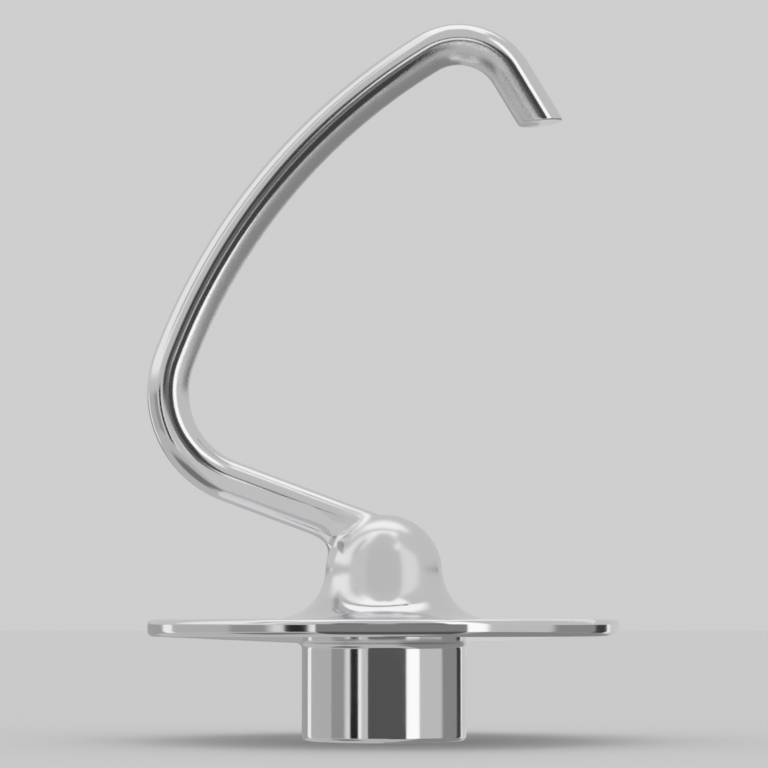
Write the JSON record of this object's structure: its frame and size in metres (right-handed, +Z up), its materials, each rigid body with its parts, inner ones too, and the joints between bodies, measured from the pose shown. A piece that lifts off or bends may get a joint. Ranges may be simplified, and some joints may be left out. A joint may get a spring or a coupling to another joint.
{
  "type": "dough hook",
  "caption": "C-shaped bar with its tip cut nearly level, on a domed boss and round guard disc, over a hub with a bayonet socket for a mixer's shaft.",
  "frame": {"origin": "on the drive bore's axis, in the plane of the hub's rim, which the hook stands on", "axes": "+Z up from the hub to the arm, as it stands upside down for storage; the arm lies in the XZ plane, leaves the boss towards -X and its tip is over +X; +Y completes a right-handed frame"},
  "size_m": [0.1006, 0.1, 0.1536],
  "materials": {
    "polished_steel": "mirror polished stainless steel with fine satin streaks along the arm",
    "turned_steel": "fine turned stainless steel"
  },
  "bodies": {
    "root": {"hook_arm": "polished_steel", "guard_casting": "polished_steel", "hub_sleeve": "polished_steel", "shaft_socket": "turned_steel", "hub_end_ring": "turned_steel"}
  },
  "joints": []
}
